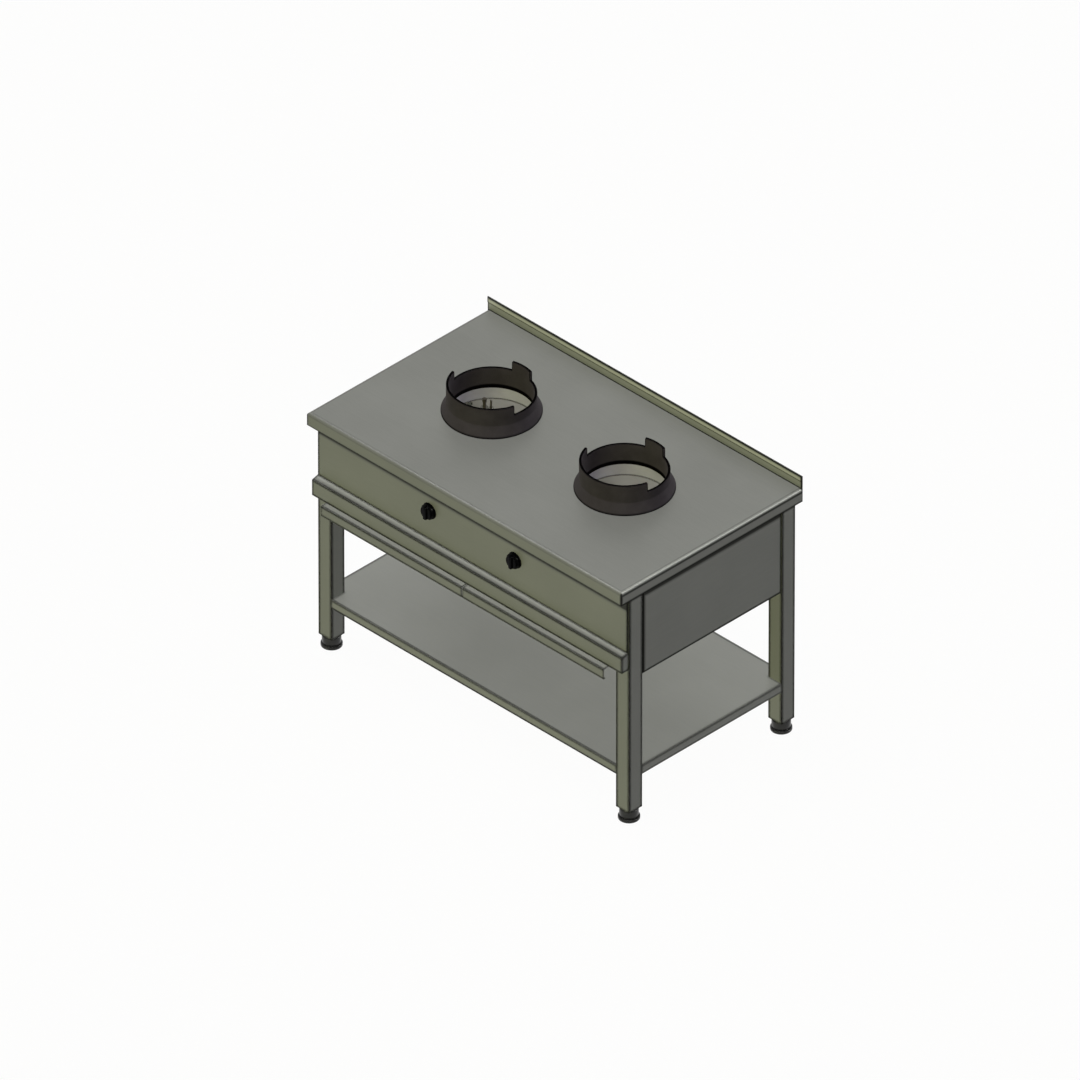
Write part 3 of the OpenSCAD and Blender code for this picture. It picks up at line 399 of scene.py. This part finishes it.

# Hot-dip galvanised strip: dull grey with pale zinc crystals about 9 mm across, and painted shade along its edges
galvanised = makeFinish("galvanisedStrip", {
    "light": "#85857f", "dark": "#74746f", "edge": "#2b2b27", "edgeShare": 0.8, "edgeMm": 2.5,
    "spangleMm": 9, "grainMm": (3, 3, 3), "patchMm": 120, "patchShare": 0.4,
    "metallic": 0.4, "roughness": 0.55, "roughnessSpread": 0.08, "bump": 0.1, "bumpMm": 0.05,
})

# Sand-cast iron, oiled and burnt dark: brown-black, matt, with sand grains about 1.5 mm across, and painted black
# along its edges as painted shade. The rings are also painted black over their upward faces, and have painted shade
# at the joint at their foot.
sandCast = {
    "light": "#413d41", "dark": "#332f32", "edge": "#020202", "edgeShare": 0.98, "edgeMm": 5,
    "specular": 0.06, "glance": "#000000", "grainMm": (1.6, 1.6, 1.6), "patchMm": 45, "patchShare": 0.5,
    "metallic": 0.05, "roughness": 0.72, "roughnessSpread": 0.1, "bump": 0.5, "bumpMm": 0.35,
}
castIron = makeFinish("sandCastIron", sandCast)
blackTopRing = makeFinish("blackTopCastIron", {
    **sandCast, "shadeLines": [(2, 2, 0.93, 100, 0.97), (None, 2, 0.8495, 9, 0.97)],
})

# Burner bowl, seen through the rings: bright steel, with its upward faces near the bottom painted a dark brown as
# painted shade, and painted shade along its edges
bowlSteel = makeFinish("shadedBottomStainless", {
    "light": "#b8b6c6", "dark": "#a5a3b2", "edge": "#24231c", "edgeShare": 0.8, "edgeMm": 6,
    "bands": [(2, 2, 0.76, 120, 0.88, "#3e3c21")],
    "grainMm": (18, 18, 1.5), "patchMm": 60, "patchShare": 0.6,
    "metallic": 0.3, "roughness": 0.4, "roughnessSpread": 0.08, "bump": 0.15, "bumpMm": 0.05,
})

# Pilots and thermocouples, sooted by the flame they stand beside
sooted = makeFinish("sootedMetal", {
    "light": "#4b463c", "dark": "#2e2a24", "grainMm": (3, 3, 3), "patchMm": 12, "patchShare": 0.5,
    "metallic": 0.6, "roughness": 0.55, "roughnessSpread": 0.1, "bump": 0.2, "bumpMm": 0.05,
})

# Moulded phenolic, gloss black: a hard dark surface with small clear highlights
phenolic = makeFinish("mouldedPhenolic", {
    "light": "#060608", "dark": "#020203", "specular": 0.03,
    "grainMm": (0.8, 0.8, 0.8), "patchMm": 12, "patchShare": 0.3,
    "metallic": 0.0, "roughness": 0.22, "roughnessSpread": 0.05, "bump": 0.08, "bumpMm": 0.03,
})

# Foot in dark zinc-nickel plate: near black with soft metal glints, and painted black along its edges as painted
# shade
footPlate = makeFinish("blackNickelPlate", {
    "light": "#2c2c2b", "dark": "#1a1a19", "edge": "#020202", "edgeShare": 0.98, "edgeMm": 6,
    "grainMm": (6, 6, 0.8), "patchMm": 25, "patchShare": 0.4,
    "metallic": 0.5, "roughness": 0.3, "roughnessSpread": 0.08, "bump": 0.15, "bumpMm": 0.05,
})

# Bright zinc plate on screws, nuts, spindles, stems and pipes, with faint painted shade at their edges
zincPlate = makeFinish("brightZincPlate", {
    "light": "#a3a49f", "dark": "#8d8e8a", "edge": "#3a3a36", "edgeShare": 0.6, "edgeMm": 0.6,
    "grainMm": (1.2, 1.2, 1.2), "patchMm": 20, "patchShare": 0.4,
    "metallic": 0.85, "roughness": 0.35, "roughnessSpread": 0.06, "bump": 0.1, "bumpMm": 0.03,
})

# Machined brass, dulled by heat, with faint painted shade at its edges
brass = makeFinish("machinedBrass", {
    "light": "#8a7650", "dark": "#6d5a38", "edge": "#33291a", "edgeShare": 0.6, "edgeMm": 1.5,
    "grainMm": (4, 4, 0.8), "patchMm": 25, "patchShare": 0.5,
    "metallic": 0.9, "roughness": 0.36, "roughnessSpread": 0.08, "bump": 0.12, "bumpMm": 0.03,
})
print("finishes made")

# CAD solids that stay
keptNodes = [
    (slopedRail, "front_rail"),
    (fainterEdgeTray, "drip_tray_left drip_tray_right"),
    (brushedAlongX, "back_panel"),
    (shadedPanel, "control_panel"),
    (lightenedShelf, "shelf"),
    (shadedSide, "side_panel_left side_panel_right"),
    (brushedLeg, "leg_front_left leg_front_right leg_back_left leg_back_right"),
    (galvanised, "worktop_channels centre_divider leg_inserts runner_left runner_right runner_middle "
        "shelf_channels burner_channel_left burner_channel_right manifold_brackets"),
    (zincPlate, "runner_screws bowl_nuts burner_bolts tap_plunger_left tap_plunger_right tap_spindle_left "
        "tap_spindle_right"),
]
for finish, names in keptNodes:
    for name in names.split():
        nodes[name].data.materials.clear()
        nodes[name].data.materials.append(finish)

# CAD solids shown as smooth copies
smoothedNodes = [
    (dimmedTop, "sheet_steel", "worktop"),
    (bowlSteel, "sheet_steel", "burner_bowl_left burner_bowl_right"),
    (castIron, "cast_iron", "burner_left burner_right"),
    (brass, "brass", "burner_head_left burner_head_right injector_left injector_right "
        "gas_tap_left gas_tap_right"),
    (sooted, "brass", "pilot_left pilot_right"),
    (sooted, "copper", "thermocouple_left thermocouple_right"),
    (zincPlate, "inner_steel", "gas_manifold gas_pipe_left gas_pipe_right"),
]
for finish, slot, names in smoothedNodes:
    for name in names.split():
        smoothCopy(name, finish)
print("CAD solids finished")

# Wok rings
wokRing = {
    "x": 0.275, "y": 0.019, "z": 0.85,
    "bore": 0.126, "wall": 0.134, "skirt": 0.150, "spigot": 0.133, "spigotDepth": 0.008, "seat": 0.0003,
    "skirtEdge": 0.004, "skirtHeight": 0.036, "low": 0.064, "high": 0.095,
    "round": 0.0018, "footRounds": [0.001, 0.001, 0.0002, 0.0008, 0.003, 0.008],
    "tallParts": [(270, 75), (90, 17)],  # front and back, each by its middle and its half length in degrees
    "stepDegrees": 0.7, "spacingDegrees": 1.5,
    "stepSpan": 1.2, "stepPoints": 13,  # closer points, this many step widths to each side of a step
}


# The ring's section is carried round its axis. Its top follows low + (high - low) * s, where s is a smooth step
# that is one within the tall front and back parts
def ringPoints(s, side):
    section = [
        (s["bore"], -s["spigotDepth"]), (s["spigot"], -s["spigotDepth"]), (s["spigot"], s["seat"]),
        (s["skirt"], s["seat"]), (s["skirt"], s["seat"] + s["skirtEdge"]), (s["wall"], s["skirtHeight"]),
        (s["wall"], s["low"]), (s["bore"], s["low"]),
    ]
    outline = roundCorners(section, s["footRounds"] + [s["round"], s["round"]])
    onTop = outline[:, 1] > s["low"] - 2 * s["round"]
    middle, half = np.array(s["tallParts"], float).T
    ends = np.concatenate([middle - half, middle + half])
    closer = np.linspace(-s["stepSpan"], s["stepSpan"], s["stepPoints"]) * s["stepDegrees"]
    even = np.arange(round(360 / s["spacingDegrees"])) * s["spacingDegrees"]
    both = np.concatenate([even, (ends[:, None] + closer).ravel()]) % 360
    degrees = np.unique(np.round(both, 4))
    away = np.abs((degrees[:, None] - middle + 180) % 360 - 180)
    climb = np.clip((half - away) / s["stepDegrees"] + 0.5, 0, 1)
    tall = (climb * climb * (3 - 2 * climb)).max(axis=1)
    angle = np.radians(degrees)[:, None]
    r, h = outline[None, :, 0], outline[None, :, 1] + (s["high"] - s["low"]) * tall[:, None] * onTop
    x = side * (s["x"] + r * np.cos(angle))
    return np.stack([x, s["y"] + r * np.sin(angle), s["z"] + h], axis=-1)


for side, sign in sides.items():
    points = ringPoints(wokRing, sign)
    addPiece("castRing_" + side, points, tubeFaces(points), "ring_" + side, blackTopRing,
        ["wok_ring_" + side])
print("wok rings made")

# Knobs
knob = {
    "x": 0.1765, "z": 0.716, "panelY": -0.336, "backY": -0.3425, "segments": 96,
    "bezelRadius": 0.027, "bezelThick": 0.002, "bezelHole": 0.007, "bezelRounds": [0, 0.0002, 0.0012, 0.0004],
    "skirtRadius": 0.025, "skirtThick": 0.0045, "bodyRadius": 0.0215, "bodyHeight": 0.007, "bodyTaper": 0.0006,
    "bodyRounds": [0.0002, 0.0006, 0.0014, 0.001, 0.0022, 0, 0, 0.0002], "bore": 0.0042, "boreDepth": 0.0105,
    "gripWidth": 0.014, "gripLength": 0.044, "gripHeight": 0.012, "gripCorner": 0.005, "gripRound": 0.003,
    "gripFoot": [0.001, 0.004],  # heights of the two rows that are sunk into the skirt
    "gripSteps": 7,
    "pointerWidth": 0.002, "pointerLength": 0.0075, "pointerPlace": 0.0147, "pointerDepth": 0.0008,
    "pointerCorner": 0.0005,
}


# A rounded bar that stands out forwards: its outline shrinks by r (1 - cos t) while it rises by r sin t at the top.
# Its last two rows are the rim and the floor of the groove that serves as pointer.
def gripPoints(s, x):
    top = s["skirtThick"] + s["gripHeight"]
    t = np.linspace(0, np.pi / 2, s["gripSteps"])
    inset = np.concatenate([[0, 0], s["gripRound"] * (1 - np.cos(t))])
    rise = top - s["gripRound"] + s["gripRound"] * np.sin(t)
    height = np.concatenate([s["gripFoot"], rise, [top, top - s["pointerDepth"]]])
    level = [
        roundedRectangle(s["gripWidth"] / 2 - i, s["gripLength"] / 2 - i, s["gripCorner"] - i) for i in inset
    ]
    pointer = roundedRectangle(s["pointerWidth"] / 2, s["pointerLength"] / 2, s["pointerCorner"])
    pointer += (0, s["pointerPlace"])
    across = np.array(level + [pointer, pointer])
    along = np.broadcast_to(height[:, None], across.shape[:2])
    return np.stack([x + across[..., 0], s["backY"] - along, s["z"] + across[..., 1]], axis=-1)


for side, sign in sides.items():
    x = sign * knob["x"]
    bezel = [
        (knob["bezelHole"], 0), (knob["bezelRadius"], 0), (knob["bezelRadius"], knob["bezelThick"]),
        (knob["bezelHole"], knob["bezelThick"]),
    ]
    outline = roundCorners(bezel, knob["bezelRounds"])
    points = turned(outline, knob["segments"], (x, knob["panelY"], knob["z"]), "front")
    addPiece("knobBezel_" + side, points, tubeFaces(points), "range_frame", phenolic,
        ["bezel_" + side])
    full = knob["skirtThick"] + knob["bodyHeight"]
    body = [
        (knob["bore"], 0), (knob["skirtRadius"], 0), (knob["skirtRadius"], knob["skirtThick"]),
        (knob["bodyRadius"], knob["skirtThick"]), (knob["bodyRadius"] - knob["bodyTaper"], full), (0, full),
        (0, knob["boreDepth"]), (knob["bore"], knob["boreDepth"]),
    ]
    outline = roundCorners(body, knob["bodyRounds"])
    points = turned(outline, knob["segments"], (x, knob["backY"], knob["z"]), "front")
    addPiece("knobBody_" + side, points, tubeFaces(points), "dial_" + side, phenolic,
        ["knob_" + side])
    points = gripPoints(knob, x)
    addPiece("knobGrip_" + side, points, tubeFaces(points, capped=True), "dial_" + side, phenolic,
        ["knob_" + side])
print("knobs made")

# Feet
foot = {
    "x": 0.617, "frontY": -0.305, "backY": 0.327, "segments": 72,
    "padRadius": 0.033, "padHeight": 0.010, "grooveRadius": 0.025, "grooveTop": 0.013,
    "collarRadius": 0.029, "collarTop": 0.0394, "collarChamfer": 0.0015,
    "rounds": [0, 0.002, 0.002, 0.0008, 0.0008, 0.0012, 0.0015, 0],
    "stemRadius": 0.0059, "stemTop": 0.1010, "stemOverlap": 0.001,
    "pitch": 0.00175, "threadDepth": 0.0008, "threadSteps": 24,
}
thread = {
    "rowsPerPitch": 6,
    "plainShare": 0.4,  # share of the thread's depth at which it runs out, over one pitch at each end
}


# A screw thread: the radius falls and rises once in each pitch, by how far height / pitch - turn / 360 is from a
# whole number. With a bore, the wall comes back along it.
def threadPoints(s, start, end, centre, facing="up", bore=0):
    h = np.arange(start, end, s["pitch"] / thread["rowsPerPitch"])[:, None]
    angle = np.arange(s["threadSteps"])[None, :] * 2 * np.pi / s["threadSteps"]
    phase = np.abs((h / s["pitch"] - angle / (2 * np.pi)) % 1 - 0.5) * 2
    fade = np.clip(np.minimum(h - start, end - h) / s["pitch"], 0, 1)
    r = s["stemRadius"] - s["threadDepth"] * (phase * fade + thread["plainShare"] * (1 - fade))
    if bore:
        r, h = np.vstack([r, np.full((2, s["threadSteps"]), bore)]), np.vstack([h, h[-1:], h[:1]])
    return placed(r * np.cos(angle), r * np.sin(angle), np.broadcast_to(h, r.shape), centre, facing)


profile = [
    (0, 0), (foot["padRadius"], 0), (foot["padRadius"], foot["padHeight"]),
    (foot["grooveRadius"], foot["padHeight"]), (foot["grooveRadius"], foot["grooveTop"]),
    (foot["collarRadius"], foot["grooveTop"] + foot["collarChamfer"]),
    (foot["collarRadius"], foot["collarTop"]), (0, foot["collarTop"]),
]
outline = roundCorners(profile, foot["rounds"], steps=4)
for place in ("front", "back"):
    for side, sign in sides.items():
        centre = (sign * foot["x"], foot[place + "Y"], 0)
        points = turned(outline, foot["segments"], centre)
        addPiece(f"footPad_{place}_{side}", points, tubeFaces(points), f"levelling_{place}_{side}", footPlate,
            [f"foot_{place}_{side}"])
        points = threadPoints(foot, foot["collarTop"] - foot["stemOverlap"], foot["stemTop"], centre)
        addPiece(f"footStem_{place}_{side}", points, tubeFaces(points, capped=True),
            f"levelling_{place}_{side}", zincPlate, [f"foot_{place}_{side}"])
print("feet made")

# Gas inlet: a G 3/4 pipe thread behind a hexagon that the back panel hides
inlet = {
    "x": 0.06, "z": 0.683, "front": 0.3245, "shoulder": 0.3485, "end": 0.3745, "overlap": 0.0005,
    "hexRadius": 0.019, "hexSides": 6, "chamfer": 0.0008, "bore": 0.009,
    "stemRadius": 0.01322, "threadDepth": 0.00116, "pitch": 0.001814, "threadSteps": 48,
}
length = inlet["shoulder"] - inlet["front"]
hexagon = [(0, 0), (inlet["hexRadius"], 0), (inlet["hexRadius"], length), (0, length)]
outline = roundCorners(hexagon, [0, inlet["chamfer"], inlet["chamfer"], 0], steps=2)
points = turned(outline, inlet["hexSides"], (inlet["x"], inlet["front"], inlet["z"]), "back")
addPiece("inletHexagon", points, tubeFaces(points), "range_frame", brass, ["gas_inlet"])
start = inlet["shoulder"] - inlet["overlap"]
points = threadPoints(inlet, start, inlet["end"], (inlet["x"], 0, inlet["z"]), "back", inlet["bore"])
addPiece("inletThread", points, tubeFaces(points), "range_frame", brass, ["gas_inlet"])
print("gas inlet made")

# Floor and light
# The floor shows as white with a faint shadow, and is dim for bounced light, so that it doesn't wash out the sides
floor = {"size": 60, "drop": 0.0006, "white": "#ffffff", "bounce": "#4a4a4a", "glowShare": 0.86}
sheet = bpy.data.meshes.new("studioFloor")
half = floor["size"] / 2
corners = [(x, y, -floor["drop"]) for x, y in ((-half, -half), (half, -half), (half, half), (-half, half))]
sheet.from_pydata(corners, [], [(0, 1, 2, 3)])
studioFloor = bpy.data.objects.new("studioFloor", sheet)
bpy.context.scene.collection.objects.link(studioFloor)


# One for rays from the eye, in reflections and through glass, and nothing for the rest
def seenRays(tree):
    path = addNode(tree, "LightPath").outputs
    shown = worked(tree, "MAXIMUM", path["Is Camera Ray"], path["Is Glossy Ray"])
    return worked(tree, "MAXIMUM", shown, path["Is Transmission Ray"])


paint = bpy.data.materials.new("whiteStudioPaint")
paint.use_nodes = True
tree = paint.node_tree
shader = tree.nodes["Principled BSDF"]
seen = seenRays(tree)
tree.links.new(mixedColours(tree, seen, floor["bounce"], floor["white"]), shader.inputs["Base Color"])
shader.inputs["Roughness"].default_value = 1.0
shader.inputs["Specular IOR Level"].default_value = 0.0
glow = addNode(tree, "Emission", {"Strength": 1.0}).outputs[0]
shareSeen = worked(tree, "MULTIPLY", seen, floor["glowShare"])
mixed = addNode(tree, "MixShader", links={0: shareSeen, 1: shader.outputs[0], 2: glow}).outputs[0]
tree.links.new(mixed, tree.nodes["Material Output"].inputs["Surface"])
sheet.materials.append(paint)

# White sky for the eye, reflections and glass; a dimmer even light for surfaces
sky = {"seen": 1.0, "lit": 0.07}
world = bpy.data.worlds.new("studioSky")
bpy.context.scene.world = world
world.use_nodes = True
tree = world.node_tree
skyRange = {"To Min": sky["lit"], "To Max": sky["seen"]}
level = addNode(tree, "MapRange", skyRange, {"Value": seenRays(tree)}).outputs[0]
tree.links.new(level, tree.nodes["Background"].inputs["Strength"])
tree.nodes["Background"].inputs["Color"].default_value = (1, 1, 1, 1)

# Suns, each with the way its light travels. Level 1 shows a white surface that faces it as white.
# The two streaks reach glossy reflections alone: they draw the light along folds, as tall lamps in a studio do.
lamps = {
    "ceilingLight": {"way": (0, 0, -1), "level": 0.68, "tint": "#fffffd", "softDegrees": 20},
    "ceilingShade": {"way": (0.25, 0.3, -1), "level": 0.06, "softDegrees": 50, "shadow": True},
    "frontLight": {"way": (0, 1, -0.05), "level": 0.5, "tint": "#fbffc4", "softDegrees": 20},
    "sideLight": {"way": (-1, 0, -0.05), "level": 0.125, "softDegrees": 20},
    "leftLight": {"way": (1, 0, -0.05), "level": 0.12, "softDegrees": 20},
    "backLight": {"way": (0, -1, -0.05), "level": 0.3, "softDegrees": 20},
    "frontStreak": {"way": (0.577, -0.176, -0.797), "level": 0.2, "softDegrees": 10, "glossOnly": True},
    "sideStreak": {"way": (-0.577, -0.577, -0.577), "level": 1.0, "softDegrees": 10, "glossOnly": True},
}
lampHeight = 3
for name, lamp in lamps.items():
    data = bpy.data.lights.new(name, "SUN")
    data.energy = lamp["level"] * math.pi
    data.color = colour(lamp.get("tint", "#ffffff"))[:3]
    data.angle = math.radians(lamp["softDegrees"])
    data.use_shadow = lamp.get("shadow", False)
    sun = bpy.data.objects.new(name, data)
    sun.rotation_mode = "QUATERNION"
    sun.rotation_quaternion = Vector(lamp["way"]).to_track_quat("-Z", "Y")
    sun.location = (0, 0, lampHeight)
    sun.visible_diffuse = not lamp.get("glossOnly", False)
    bpy.context.scene.collection.objects.link(sun)
bpy.context.scene.view_settings.view_transform = "Standard"
print("light set")
